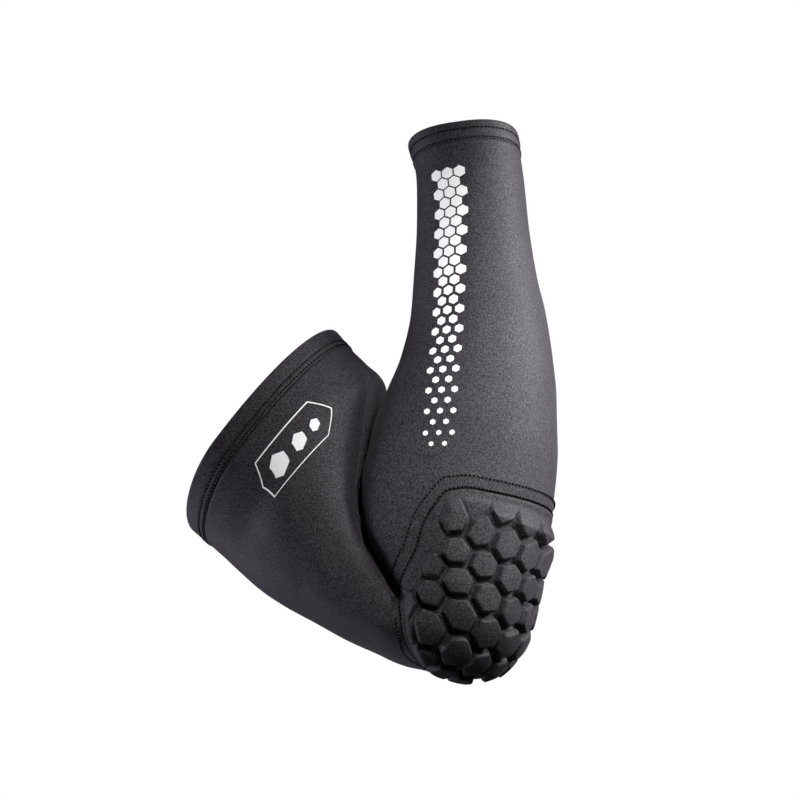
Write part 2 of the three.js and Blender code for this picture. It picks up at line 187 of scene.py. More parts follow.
add_floor()
light_world(0.04)
middle = (Vector(cad_low) + Vector(cad_high)) / 2
WARM, COOL = (1.0, 0.985, 0.97), (0.93, 0.91, 1.0)
add_lamp("key", 85, 20, 0.45, (0, 0, 0.13), 0.2, 4.8, WARM)
add_lamp("front_elbow", 18, 30, 0.55, (0.03, 0, 0.045), 0.2, 0.12, WARM, spread=26)
add_lamp("front_forearm", 30, 10, 0.55, (0.03, 0, 0.12), 0.2, 0.08, WARM, spread=28)
add_lamp("left", -80, -5, 1.2, middle, 0.5, 9.5, COOL)
add_lamp("left_low", -120, -25, 1.2, middle, 0.5, 2.2, COOL)
add_lamp("behind", 180, 5, 1.2, middle, 0.5, 2, COOL)
bpy.context.scene.view_settings.view_transform = "Standard"
print("floor at", -FLOOR_DROP)

# %% [markdown]
# ## The sleeve's form
# A knitted tube has no form of its own: the arm gives it one. So it is described as a tailor would
# measure the arm, by cross-sections. Each section lies across the limb and says how far the cloth
# reaches in front and behind, how deep it is and how square. Round the elbow the sections fan out
# from the crook, where the cloth is folded tight. These are the CAD model's tables, here in metres,
# so the new cloth lies where the solid does. Only the crook's line and the squareness of the upper
# arm are moved a few millimetres, nearer to the photograph.

# %% Sizes of the arm in the sleeve
FOREARM_LENGTH = 233.5 * MM
UPPER_ARM_LENGTH = 132 * MM
FLEX = math.radians(49)
WRIST_SIZE = (55 * MM, 55 * MM)  # width and depth
FOREARM_SIZE = (90 * MM, 88 * MM)
ELBOW_REACH = 54 * MM
ELBOW_DEPTH = 82 * MM
UPPER_ARM_SIZE = (118 * MM, 102 * MM)
CROOK = np.array((-30 * MM, -7 * MM))  # the end of the fold, in the plane of the bend
FOLD_RADIUS = 0.6 * MM
PRESS_GAP = 0.4 * MM  # between the two limbs where they press together
CLOTH = 1.2 * MM
WRIST_HEM = 10 * MM
UPPER_HEM = 12 * MM
WRIST_SLANT = math.radians(5)
UPPER_SLANT = math.radians(5.6)

Limb = namedtuple("Limb", "angle side slant length width depth")
Section = namedtuple("Section", "fx fz bx bz half front_power back_power belly")
LimbRow = namedtuple("LimbRow", "along front back depth front_power back_power belly slant")
ElbowRow = namedtuple("ElbowRow", "turn reach depth front_power back_power belly")

wrist = Limb(0, 1, WRIST_SLANT, FOREARM_LENGTH, *WRIST_SIZE)
forearm = Limb(0, 1, WRIST_SLANT, FOREARM_LENGTH, *FOREARM_SIZE)
upper_arm = Limb(FLEX, -1, -UPPER_SLANT, UPPER_ARM_LENGTH, *UPPER_ARM_SIZE)

# %% Rows of cross-sections
WRIST_ROWS = [
    LimbRow(1.0, 0.513, 0.503, 1.0, 2.5, 2.5, 0.5, 1),
    LimbRow(1 - WRIST_HEM / FOREARM_LENGTH, 0.46, 0.52, 0.98, 2.4, 2.3, 0.5, 1),
    LimbRow(0.9, 0.44, 0.547, 1.0, 2.2, 2.1, 0.5, 0.7),
    LimbRow(0.8, 0.442, 0.583, 1.06, 2, 2, 0.5, 0.3),
]
FOREARM_ROWS = [
    LimbRow(0.68, 0.285, 0.402, 0.75, 2, 2, 0.5, 0),
    LimbRow(0.6, 0.301, 0.444, 0.83, 2, 2, 0.5, 0),
    LimbRow(0.5, 0.357, 0.476, 0.91, 2.1, 2, 0.5, 0),
    LimbRow(0.41, 0.438, 0.494, 0.97, 2.4, 2, 0.47, 0),
    LimbRow(0.31, 0.512, 0.494, 1.0, 2.9, 2, 0.43, 0),
    LimbRow(0.2, 0.55, 0.468, 1.0, 3.8, 1.95, 0.38, 0),
    LimbRow(0.1, 0.518, 0.403, 0.98, 4.4, 1.9, 0.38, 0),
    LimbRow(0.035, 0.435, 0.35, 0.95, 4.8, 1.9, 0.42, 0),
]
ELBOW_ROWS = [
    ElbowRow(0.0, 1.057, 1.0, 5.0, 1.9, 0.42),
    ElbowRow(0.12, 1.017, 0.99, 5.0, 1.9, 0.43),
    ElbowRow(0.23, 0.94, 0.98, 5.0, 1.9, 0.44),
    ElbowRow(0.34, 0.835, 0.98, 5.0, 2.0, 0.45),
    ElbowRow(0.46, 0.675, 0.98, 4.6, 2.2, 0.46),
    ElbowRow(0.59, 0.53, 0.98, 4.2, 2.4, 0.48),
    ElbowRow(0.73, 0.478, 0.99, 4.2, 2.5, 0.5),
    ElbowRow(0.87, 0.46, 1.0, 4.6, 2.5, 0.5),
    ElbowRow(1.0, 0.475, 1.0, 5.2, 2.4, 0.5),
]
UPPER_ARM_ROWS = [
    LimbRow(0.25, 0.5, 0.468, 0.83, 5.8, 2.3, 0.5, 0),
    LimbRow(0.38, 0.5, 0.497, 0.87, 5.4, 2.2, 0.5, 0),
    LimbRow(0.5, 0.5, 0.524, 0.91, 4.2, 2.1, 0.52, 0),
    LimbRow(0.61, 0.465, 0.538, 0.95, 2.8, 2, 0.55, 0.1),
    LimbRow(0.73, 0.44, 0.537, 0.98, 2.1, 2, 0.58, 0.4),
    LimbRow(0.83, 0.47, 0.533, 1.0, 2.1, 1.95, 0.63, 0.7),
    LimbRow(1 - UPPER_HEM / UPPER_ARM_LENGTH, 0.48, 0.532, 1.0, 2.1, 1.9, 0.67, 0.85),
    LimbRow(1.0, 0.497, 0.53, 1.0, 2.1, 1.9, 0.7, 0.8),
]


# %% From rows to sections
def smooth_values(values, at):
    """A curve through evenly numbered values that never overshoots them."""
    values, at = np.asarray(values, float), np.asarray(at, float)
    rise = np.diff(values)
    slope = np.zeros(len(values))
    slope[0], slope[-1] = rise[0], rise[-1]
    same_way = rise[:-1] * rise[1:] > 0
    total = np.where(same_way, rise[:-1] + rise[1:], 1)
    slope[1:-1] = np.where(same_way, 2 * rise[:-1] * rise[1:] / total, 0)
    k = np.clip(np.floor(at), 0, len(values) - 2).astype(int)
    t = np.clip(at - k, 0, 1)
    near = (1 + 2 * t) * (1 - t) ** 2 * values[k] + t * (1 - t) ** 2 * slope[k]
    return near + t * t * (3 - 2 * t) * values[k + 1] - t * t * (1 - t) * slope[k + 1]


def limb_section(row, limb):
    axis = np.array((-math.sin(limb.angle), math.cos(limb.angle)))
    turned = limb.angle + limb.side * row.slant * limb.slant
    forward = -limb.side * np.array((math.cos(turned), math.sin(turned)))
    centre = axis * row.along * limb.length
    front = centre + forward * row.front * limb.width
    back = centre - forward * row.back * limb.width
    shape = (row.front_power, row.back_power, row.belly)
    return Section(*front, *back, row.depth * limb.depth / 2, *shape)


def elbow_section(row):
    angle = -row.turn * (math.pi - FLEX)
    outward = np.array((math.cos(angle), math.sin(angle)))
    front = CROOK + outward * FOLD_RADIUS
    back = CROOK + outward * row.reach * ELBOW_REACH
    shape = (row.front_power, row.back_power, row.belly)
    return Section(*front, *back, row.depth * ELBOW_DEPTH / 2, *shape)


forearm_side = [limb_section(row, wrist) for row in WRIST_ROWS]
forearm_side += [limb_section(row, forearm) for row in FOREARM_ROWS]
forearm_side.append(elbow_section(ELBOW_ROWS[0]))


def forearm_front(z):
    """How far forward the forearm's cloth reaches at a height."""
    heights = [s.fz for s in forearm_side]
    below = next((i for i, h in enumerate(heights) if h <= z), None)
    if below is None:
        return CROOK[0]
    if below == 0:
        return -math.inf
    share = (heights[below - 1] - z) / (heights[below - 1] - heights[below])
    return float(smooth_values([s.fx for s in forearm_side], below - 1 + share))


def pressed_section(row):
    """An upper-arm section gives way where it would press into the forearm."""
    def clear(reach):
        s = limb_section(row._replace(front=reach), upper_arm)
        return s.fx <= forearm_front(s.fz) - PRESS_GAP or s.fz > FOREARM_LENGTH

    reach = row.front
    if not clear(reach):
        low = -row.back
        for _ in range(30):
            half = (low + reach) / 2
            low, reach = (half, reach) if clear(half) else (low, half)
        reach = low
    return limb_section(row._replace(front=reach), upper_arm)


sections = forearm_side + [elbow_section(row) for row in ELBOW_ROWS[1:]]
sections += [pressed_section(row) for row in UPPER_ARM_ROWS]
LAST = len(sections) - 1
print("sections:", len(sections))


# %% From sections to a surface
ROUND_STEPS = 720


def section_at(at):
    columns = zip(*sections)
    return Section(*(smooth_values(values, at) for values in columns))


def ring(at, offset=0.0):
    """Points of one section, evenly spaced round it, and their distance round in metres."""
    s = section_at(at)
    front, back = np.array((s.fx, s.fz)), np.array((s.bx, s.bz))
    across = (back - front) / np.linalg.norm(back - front)
    front, back = front - across * offset, back + across * offset
    width = np.linalg.norm(back - front)
    angle = np.linspace(0, 2 * math.pi, ROUND_STEPS * 4 + 1)
    c, n = np.cos(angle), np.sin(angle)
    power = 2 / np.where(c >= 0, s.back_power, s.front_power)
    swing = np.abs(c) ** power * np.where(c >= 0, 1 - s.belly, -s.belly)
    middle = front + np.outer((s.belly + swing) * width, across)
    y = -np.sign(n) * np.abs(n) ** power * (s.half + offset)
    points = np.stack((middle[:, 0], y, middle[:, 1]), 1)
    length = np.concatenate(([0], np.cumsum(np.linalg.norm(np.diff(points, axis=0), axis=1))))
    even = np.linspace(0, length[-1], ROUND_STEPS + 1)
    return np.stack([np.interp(even, length, points[:, i]) for i in range(3)], 1), length[-1]


CREASE_TOP = 62 * MM
CREASE_SWAY = 3.2 * MM
SWAY_BESIDE, SWAY_DEEP, SWAY_FADE = 11 * MM, 15 * MM, 14 * MM  # how soon it fades each way


def sway(points):
    """Bends the crease between the limbs, so that nobody can see through between them.

    Both sides of the crease move together, most in the middle of the arm's depth."""
    heights = np.linspace(CROOK[1], CREASE_TOP, 40)
    front = np.interp(points[..., 2], heights, [forearm_front(z) for z in heights])
    beside = np.exp(-((points[..., 0] - front) / SWAY_BESIDE) ** 2)
    low = np.clip((points[..., 2] - CROOK[1] + SWAY_FADE) / SWAY_FADE, 0, 1)
    high = np.clip((CREASE_TOP + SWAY_FADE - points[..., 2]) / (2 * SWAY_FADE), 0, 1)
    middle = np.exp(-(points[..., 1] / SWAY_DEEP) ** 2)
    moved = points.copy()
    moved[..., 0] += CREASE_SWAY * beside * middle * low * high
    return moved


FINE = 16  # stations per row in the lookup
stations = np.linspace(0, LAST, LAST * FINE + 1)
rings = [ring(at) for at in stations]
surface = sway(np.stack([r[0] for r in rings]))
girth = np.array([r[1] for r in rings])
step_between = np.linalg.norm(np.diff(surface, axis=0), axis=2).mean(axis=1)
length_to = np.concatenate(([0], np.cumsum(step_between)))  # along the sleeve, from the wrist
print("length along the sleeve, mm:", round(length_to[-1] / MM))


def face_normals(points):
    """The way out of a tube that is given as rings of points."""
    along = np.gradient(points, axis=0)
    around = np.roll(points[:, :-1], -1, axis=1) - np.roll(points[:, :-1], 1, axis=1)
    around = np.concatenate((around, around[:, :1]), axis=1)
    out = np.cross(along, around)
    out /= np.maximum(np.linalg.norm(out, axis=2), 1e-12)[..., None]
    return out * np.sign(((points - points.mean(axis=1)[:, None]) * out).sum())


surface_out = face_normals(surface)


def look_up(table, along, around):
    i = np.interp(along, length_to, np.arange(len(stations)))
    j = np.mod(around, 1) * ROUND_STEPS
    i0 = np.clip(np.floor(i).astype(int), 0, len(stations) - 2)
    j0 = np.clip(np.floor(j).astype(int), 0, ROUND_STEPS - 1)
    a, b = (i - i0)[..., None], (j - j0)[..., None]
    near = table[i0, j0] * (1 - b) + table[i0, j0 + 1] * b
    far = table[i0 + 1, j0] * (1 - b) + table[i0 + 1, j0 + 1] * b
    return near * (1 - a) + far * a


def on_surface(along, around, out=0.0):
    """Points at a length along the sleeve, a share of the way round and a height off its face."""
    lifted = np.asarray(out)[..., None] * look_up(surface_out, along, around)
    return look_up(surface, along, around) + lifted


def girth_at(along):
    return np.interp(along, length_to, girth)


def row_length(row):
    return float(np.interp(row * FINE, np.arange(len(stations)), length_to))


# %% [markdown]
# ## Helpers for cloth
# Every cloth piece here starts as a flat grid, as cloth does, and a function says where each point
# of the flat piece comes to lie. The flat place stays on the mesh as a UV map in millimetres, so
# the knit runs along the cloth and not through it.

# %% Cloth from a flat grid
def new_piece(name, bm, smooth=True):
    mesh = bpy.data.meshes.new(name)
    bm.to_mesh(mesh)
    bm.free()
    if smooth:
        mesh.shade_smooth()
    piece = bpy.data.objects.new(name, mesh)
    bpy.context.scene.collection.objects.link(piece)
    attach(piece, "root")
    return piece


def flat_grid(columns, rows, width, length):
    """A flat grid with its size in millimetres as UV, and each point's share across and along."""
    bm = bmesh.new()
    uv = bm.loops.layers.uv.new("cloth_mm")
    bmesh.ops.create_grid(bm, x_segments=columns, y_segments=rows, size=0.5)
    for face in bm.faces:
        for loop in face.loops:
            u, v = loop.vert.co.x + 0.5, loop.vert.co.y + 0.5
            loop[uv].uv = (u * width / MM, v * length / MM)
    share = np.array([(v.co.x + 0.5, v.co.y + 0.5) for v in bm.verts])
    return bm, share[:, 0], share[:, 1]


def put(bm, points):
    for v, p in zip(bm.verts, points):
        v.co = p


WELD = 0.002 * MM  # vertices nearer than this become one


def close_up(bm):
    """Joins the edges that meet, and turns the faces outwards."""
    bmesh.ops.remove_doubles(bm, verts=bm.verts, dist=WELD)
    bmesh.ops.recalc_face_normals(bm, faces=bm.faces)


# %% [markdown]
# ## Colours and nodes
# The knit is polyester with elastane, dyed charcoal. Its colours are given as they show on a
# screen, and one function turns them to the linear values that a shader needs.

# %% Colour and node helpers
def linear(hex_colour):
    parts = [int(hex_colour[i:i + 2], 16) / 255 for i in (1, 3, 5)]
    return tuple(p / 12.92 if p <= 0.04045 else ((p + 0.055) / 1.055) ** 2.4 for p in parts) + (1,)


def plug(tree, made, **inputs):
    """Sets a node's inputs, each to a value or to another node's output."""
    for key, value in inputs.items():
        socket = made.inputs[key.replace("_", " ")]
        if isinstance(value, bpy.types.NodeSocket):
            tree.links.new(value, socket)
        else:
            socket.default_value = value


def node(tree, kind, settings=None, **inputs):
    """Adds a node. settings are its own properties, inputs its sockets."""
    made = tree.nodes.new("ShaderNode" + kind)
    for key, value in (settings or {}).items():
        setattr(made, key, value)
    plug(tree, made, **inputs)
    return made


def mottle(tree, size, detail, roughness=0.5):
    """Noise on the object, with patches of about one size."""
    place = node(tree, "TexCoord").outputs["Object"]
    made = node(tree, "TexNoise", Vector=place, Scale=1 / size, Detail=detail, Roughness=roughness)
    return made.outputs["Fac"]


def new_material(name):
    material = bpy.data.materials.new(name)
    material.use_nodes = True
    tree = material.node_tree
    return material, tree, tree.nodes["Principled BSDF"]


# %% [markdown]
# ### Charcoal stretch knit
# Warp-knit polyester and elastane, brushed a little. Up close it is a mass of tiny loops of
# slightly different greys, which the eye sees as a fine speckle, and it has a weak velvety sheen
# at grazing angles. A real loop is 0.3 mm, too fine to show at this size, so the speckle is drawn
# at about 0.75 mm.

# %% Charcoal stretch knit
SPECKLE = 0.75 * MM
LOOP = 0.7 * MM
CLOUD = 28 * MM  # slow changes of tone
RIB_SCALE = 0.314  # a wave texture of this scale repeats every millimetre


def stretch_knit(name, dark, light, sheen, rib=0):
    """rib: the pitch in mm of ribs across the cloth, if it has any."""
    material, tree, shader = new_material(name)
    speckle = mottle(tree, SPECKLE, 3.0, 0.75)
    spread = node(tree, "MapRange", Value=speckle, From_Min=0.4, From_Max=0.6).outputs["Result"]
    tone = node(tree, "MixRGB", Fac=spread, Color1=linear(dark), Color2=linear(light))
    shade = node(tree, "MapRange", Value=mottle(tree, CLOUD, 2.0), From_Min=0.3, From_Max=0.7,
                 To_Min=0.9, To_Max=1.08)
    dyed = node(tree, "MixRGB", {"blend_type": "MULTIPLY"}, Fac=1.0,
                Color1=tone.outputs["Color"], Color2=shade.outputs["Result"])
    bump = node(tree, "Bump", Strength=0.5, Distance=0.16 * MM, Height=mottle(tree, LOOP, 2.0, 0.6))
    if rib:
        flat = node(tree, "UVMap", {"uv_map": "cloth_mm"}).outputs["UV"]
        ribs = node(tree, "TexWave", Vector=flat, Scale=RIB_SCALE / rib, Distortion=1.6, Detail=1.0)
        bump = node(tree, "Bump", Strength=0.4, Distance=0.3 * MM, Height=ribs.outputs["Fac"],
                    Normal=bump.outputs["Normal"])
    plug(tree, shader, Base_Color=dyed.outputs["Color"], Normal=bump.outputs["Normal"],
         Roughness=0.62, IOR=1.45, Specular_IOR_Level=0.22, Sheen_Weight=sheen,
         Sheen_Roughness=0.45, Sheen_Tint=linear("#b9b4be"))
    return material


sleeve_knit = stretch_knit("charcoal_stretch_knit", "#18171b", "#48454c", 0.09)
pad_knit = stretch_knit("brushed_pad_knit", "#121115", "#434147", 0.1)
band_knit = stretch_knit("ribbed_seam_knit", "#161519", "#454249", 0.08, rib=1.3)


# %% White print ink
def print_ink():
    """Screen-printed white elastic ink: flat and chalky, thin enough to take the knit's grain."""
    material, tree, shader = new_material("white_screen_print_ink")
    grain = mottle(tree, LOOP, 2.0, 0.6)
    tone = node(tree, "MixRGB", Fac=grain, Color1=linear("#e4e3e6"), Color2=linear("#fbfbfc"))
    bump = node(tree, "Bump", Strength=0.2, Distance=0.08 * MM, Height=grain)
    # a faint glow painted into the ink: painted light that keeps the print bright where the lamps
    # leave it in shade
    plug(tree, shader, Base_Color=tone.outputs["Color"], Normal=bump.outputs["Normal"],
         Roughness=0.55, Emission_Color=WHITE, Emission_Strength=0.16)
    return material


white_ink = print_ink()


# %% Sewing thread
TWIST = 0.3 * MM


def sewing_thread():
    """Black bonded polyester thread, smooth and almost without shine."""
    material, tree, shader = new_material("black_sewing_thread")
    tone = node(tree, "MixRGB", Fac=mottle(tree, TWIST, 1.0),
                Color1=linear("#030304"), Color2=linear("#0a090b"))
    plug(tree, shader, Base_Color=tone.outputs["Color"], Roughness=0.5, Specular_IOR_Level=0.1)
    return material


thread = sewing_thread()

# %% [markdown]
# ## The sleeve
# The tube runs from under the wrist hem to under the upper hem. It is a flat piece of knit rolled
# up and laid on the arm's sections.

# %% Sleeve
HEM_ROW = 1
GAP = 0.3 * MM
sleeve_from = row_length(HEM_ROW) + GAP
sleeve_to = row_length(LAST - HEM_ROW) - GAP


def smooth_step(low, high, x):
    t = np.clip((x - low) / (high - low), 0, 1)
    return t * t * (3 - 2 * t)


# Creases and folds of the cloth. start and end: length along the sleeve in mm and share of the
# way round. groove and ridge: depth and height in mm. width: of the groove in mm. The ridge runs
# beside the groove, towards the side that ridge_side says. Its distance and width, and how soon a
# fold dies out past its ends, go by the width of the groove.
Fold = namedtuple("Fold", "start end groove ridge width ridge_side")
FOLDS = [
    # the crease that runs down beside the pressed line and on over the elbow
    Fold((347, 0.418), (341.3, 0.4139), 1.6, 0.3, 1.3, 1),
    Fold((341.3, 0.4139), (327.9, 0.3917), 2.0, 0.6, 1.4, 1),
    Fold((327.9, 0.3917), (312.1, 0.3361), 2.0, 0.9, 1.5, 1),
    Fold((312.1, 0.3361), (292.3, 0.3167), 1.8, 0.9, 1.5, 1),
    Fold((292.3, 0.3167), (281, 0.285), 1.2, 0.6, 1.6, 1),
    # a fine crease in the strip between them
    Fold((331, 0.418), (309, 0.372), 0.7, 0.4, 0.9, 1),
    # the gap that opens above the pressed line
    Fold((381, 0.425), (368, 0.433), 3.2, 0.2, 2.6, 1),
    Fold((368, 0.433), (358.1, 0.4281), 3.0, 0.2, 2.2, 1),
    Fold((358.1, 0.4281), (346.8, 0.41), 2.4, 0.2, 1.8, 1),
    # two short wrinkles into the gap
    Fold((360.6, 0.366), (363.3, 0.4306), 0.8, 0.5, 1.1, -1),
    Fold((357.4, 0.372), (360.6, 0.425), 0.5, 0.4, 1.1, -1),
    # soft folds on the flank and above the crook
    Fold((318, 0.23), (345, 0.32), 0.25, 0.35, 5.0, 1),
    Fold((330, 0.16), (362, 0.27), 0.2, 0.3, 6.0, 1),
    Fold((205, 0.40), (226, 0.37), 0.35, 0.3, 3.0, -1),
    Fold((188, 0.42), (214, 0.385), 0.25, 0.3, 3.5, -1),
]
RIDGE_AWAY, RIDGE_WIDTH, FOLD_FADE = 2.1, 1.4, 2.2
UNEVEN, UNEVEN_SHORT, UNEVEN_LONG = 0.22, 17 * MM, 41 * MM  # slow unevenness: mm high, and lengths


def relief(along, around):
    """How far the cloth stands off the arm's smooth form, from folds and slow unevenness."""
    total = np.zeros_like(along)
    round_mm = np.mod(around, 1) * girth_at(along) / MM
    for fold in FOLDS:
        (v0, s0), (v1, s1) = fold.start, fold.end
        a = np.array((s0 * float(girth_at(v0 * MM)) / MM, v0))
        b = np.array((s1 * float(girth_at(v1 * MM)) / MM, v1))
        way = (b - a) / np.linalg.norm(b - a)
        du, dv = round_mm - a[0], along / MM - a[1]
        t = (du * way[0] + dv * way[1]) / np.linalg.norm(b - a)
        beyond = np.maximum(np.maximum(-t, t - 1), 0) * np.linalg.norm(b - a)
        side = (du * way[1] - dv * way[0]) * fold.ridge_side
        fade = np.exp(-(beyond / (FOLD_FADE * fold.width)) ** 2)
        groove = np.exp(-(side / fold.width) ** 2)
        ridge = np.exp(-((side - RIDGE_AWAY * fold.width) / (RIDGE_WIDTH * fold.width)) ** 2)
        total += fade * (fold.ridge * ridge - fold.groove * groove)
    turn = 2 * math.pi * around
    short, long = np.sin(along / UNEVEN_SHORT + 2 * turn), np.sin(along / UNEVEN_LONG - 3 * turn)
    return (total + UNEVEN * short * long) * MM


OUTER_GRID = (236, 300)
INNER_GRID = (60, 76)
UNDER_HEM = 3 * MM  # the folds die out over this length at each end
WRIST_ABOVE = 0.18  # metres: of the sleeve's rims, only the wrist's is higher


def sleeve_tube(columns, rows, out):
    length = sleeve_to - sleeve_from
    bm, around, share = flat_grid(columns, rows, float(girth.mean()), length)
    along = sleeve_from + share * length
    ends = smooth_step(0, UNDER_HEM, np.minimum(along - sleeve_from, sleeve_to - along))
    put(bm, on_surface(along, around, relief(along, around) * ends + out))
    bmesh.ops.remove_doubles(bm, verts=bm.verts, dist=WELD)
    return bm


def make_sleeve():
    """A fine outer face and a plainer inner one, joined at both ends."""
    bm = sleeve_tube(*OUTER_GRID, 0.0)
    inner = sleeve_tube(*INNER_GRID, -CLOTH)
    spare = bpy.data.meshes.new("inner")
    inner.to_mesh(spare)
    inner.free()
    bm.from_mesh(spare)
    bpy.data.meshes.remove(spare)
    rims = [e for e in bm.edges if e.is_boundary]
    for at_wrist in (True, False):
        loops = [e for e in rims if (e.verts[0].co.z > WRIST_ABOVE) == at_wrist]
        bmesh.ops.bridge_loops(bm, edges=loops)
    bmesh.ops.recalc_face_normals(bm, faces=bm.faces)
    piece = new_piece("sleeve_cloth", bm)
    piece.data.materials.append(sleeve_knit)
    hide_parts("sleeve")
    return piece


sleeve = make_sleeve()
area = float((girth[:-1] + girth[1:]).dot(step_between) / 2)
print("sleeve area, cm2:", round(area * 1e4))
print("girth, mm:", round(girth.min() / MM), "to", round(girth.max() / MM))

# %% [markdown]
# ## Hems
# Each end is turned in on itself and sewn with two rows of stitches, so it is twice as thick, has a
# round folded edge and pulls in a little along each row.

# %% Hems
HEM_PROUD = 0.4 * MM
HEM_COLUMNS = 300
OUTSIDE_ROWS, FOLD_ROWS, INSIDE_ROWS = 22, 11, 8
PULL, PULL_WIDTH = 0.32 * MM, 0.8 * MM  # what the thread draws in along a row of stitches


def make_hem(name, node_name, edge, end, stitch_rows):
    """A closed ring: up the outside, over the fold and down the inside."""
    edge_length, end_length = row_length(edge), row_length(end)
    deep = abs(end_length - edge_length)
    way = 1 if end_length > edge_length else -1
    thick = CLOTH / 2 + HEM_PROUD
    fold = np.linspace(0, math.pi, FOLD_ROWS)[1:-1]
    height = np.concatenate((np.linspace(deep, thick, OUTSIDE_ROWS), thick - thick * np.sin(fold),
                             np.linspace(thick, deep, INSIDE_ROWS), [deep]))
    out = np.concatenate((np.full(OUTSIDE_ROWS, thick), thick * np.cos(fold),
                          np.full(INSIDE_ROWS, -thick), [thick]))
    pull = np.zeros_like(out)
    for row in stitch_rows:
        pull -= PULL * np.exp(-((height - row) / PULL_WIDTH) ** 2) * (out > 0)
    count = len(out) - 1
    bm, around, up = flat_grid(HEM_COLUMNS, count, float(girth[edge * FINE]), 2 * deep)
    k = np.rint(up * count).astype(int)
    along = edge_length + way * height[k]
    put(bm, on_surface(along, around, out[k] + pull[k] - CLOTH / 2))
    close_up(bm)
    piece = new_piece(name, bm)
    piece.data.materials.append(sleeve_knit)
    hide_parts(node_name)
    return piece


WRIST_STITCH_ROWS = (4.2 * MM, 9.3 * MM)
UPPER_STITCH_ROWS = (8.6 * MM, 11.2 * MM)
wrist_hem = make_hem("wrist_hem_cloth", "wrist_hem", 0, HEM_ROW, WRIST_STITCH_ROWS)
upper_hem = make_hem("upper_hem_cloth", "upper_hem", LAST, LAST - HEM_ROW, UPPER_STITCH_ROWS)
print("hems:", len(wrist_hem.data.vertices), len(upper_hem.data.vertices))

# %% [markdown]
# ## Stitches
# A stitch is a short, slightly sunk loop of thread. There are hundreds, so each one is a small
# stretched ball of a few dozen faces, laid along the seam.

# %% Stitches
STITCH, STITCH_THICK, STITCH_GAP = 1.35 * MM, 0.85 * MM, 0.65 * MM
SEAM_STITCH_THICK = 1.05 * MM
HEM_STITCH_OUT = 0.3 * MM  # the middle of a stitch over the cloth
BALL_ROUND, BALL_LONG = 8, 5
BALL_FACES = BALL_ROUND * BALL_LONG
BALL_UP = Matrix.Rotation(math.pi / 2, 4, "Y")  # lays the ball's poles along the seam


def lay_stitches(bm, points, normals, thick):
    """Stitches along a path of close points, evenly spaced."""
    steps = np.linalg.norm(np.diff(points, axis=0), axis=1)
    length = np.concatenate(([0], np.cumsum(steps)))
    count = int(length[-1] / (STITCH + STITCH_GAP))
    for i in range(count):
        at = (i + 0.5) * length[-1] / count
        place = Vector([np.interp(at, length, points[:, a]) for a in range(3)])
        ahead = Vector([np.interp(at + 0.4 * STITCH, length, points[:, a]) for a in range(3)])
        normal = Vector([np.interp(at, length, normals[:, a]) for a in range(3)]).normalized()
        along = (ahead - place).normalized()
        side = normal.cross(along).normalized()
        turn = Matrix((along, side, normal)).transposed().to_4x4()
        size = Matrix.Diagonal((STITCH / 2, thick / 2, thick / 2, 1))
        bmesh.ops.create_uvsphere(bm, u_segments=BALL_ROUND, v_segments=BALL_LONG, radius=1,
                                  matrix=Matrix.Translation(place) @ turn @ size @ BALL_UP)


def round_path(along, out, count=900):
    """A path round the sleeve at a length along it, lifted off its face."""
    around = np.linspace(0, 1, count)
    along = np.full(count, along)
    return on_surface(along, around, np.full(count, out)), look_up(surface_out, along, around)


def stitch_piece(name, bm):
    piece = new_piece(name, bm)
    piece.data.materials.append(thread)
    return piece


def hem_stitches(name, lengths):
    bm = bmesh.new()
    for length in lengths:
        lay_stitches(bm, *round_path(length, HEM_STITCH_OUT), STITCH_THICK)
    return stitch_piece(name, bm)


wrist_stitches = hem_stitches("wrist_hem_stitches", [row_length(0) + d for d in WRIST_STITCH_ROWS])
upper_stitches = hem_stitches("upper_hem_stitches",
                              [row_length(LAST) - d for d in UPPER_STITCH_ROWS])
print("stitches on the hems:", len(wrist_stitches.data.polygons) // BALL_FACES,
      len(upper_stitches.data.polygons) // BALL_FACES)

# %% [markdown]
# ## Prints
# The sleeve carries white prints: a tall one up the forearm and a thin outlined one on the upper
# arm. Here both are plain honeycomb motifs that take up the pad's cells. Elastic ink is a film of
# a tenth of a millimetre on the cloth, so each shape is cut flat, laid on the cloth with its folds
# and given a thickness.

# %% Prints
FILM, FILM_SUNK = 0.12 * MM, 0.15 * MM  # over the cloth and, out of sight, in it


def hexagon(bm, centre, radius, cuts=2):
    """A flat hexagon with a corner up, in fine enough triangles to bend with the cloth."""
    made = bmesh.ops.create_circle(bm, cap_ends=True, cap_tris=True, segments=6, radius=radius)
    bmesh.ops.translate(bm, verts=made["verts"], vec=(*centre, 0))
    edges = {e for v in made["verts"] for e in v.link_edges}
    bmesh.ops.subdivide_edges(bm, edges=list(edges), cuts=cuts, use_grid_fill=True)


def closed_line(bm, points):
    made = [bm.verts.new((*p, 0)) for p in points]
    return [bm.edges.new(pair) for pair in zip(made, made[1:] + made[:1])]


def outlined(bm, outer, inner):
    """A flat line between two closed loops of as many points."""
    bmesh.ops.bridge_loops(bm, edges=closed_line(bm, outer) + closed_line(bm, inner))


def lay_print(name, bm, cloth_place):
    """Gives flat shapes a film's thickness and lays them on the sleeve."""
    top = bmesh.ops.extrude_face_region(bm, geom=list(bm.faces))["geom"]
    lifted = {v for v in top if isinstance(v, bmesh.types.BMVert)}
    flat = np.array([v.co.xy for v in bm.verts])
    out = np.array([FILM if v in lifted else -FILM_SUNK for v in bm.verts])
    along, around = cloth_place(flat)
    put(bm, on_surface(along, around, relief(along, around) + out))
    bmesh.ops.recalc_face_normals(bm, faces=bm.faces)
    piece = new_piece(name, bm, smooth=False)
    piece.data.materials.append(white_ink)
    return piece


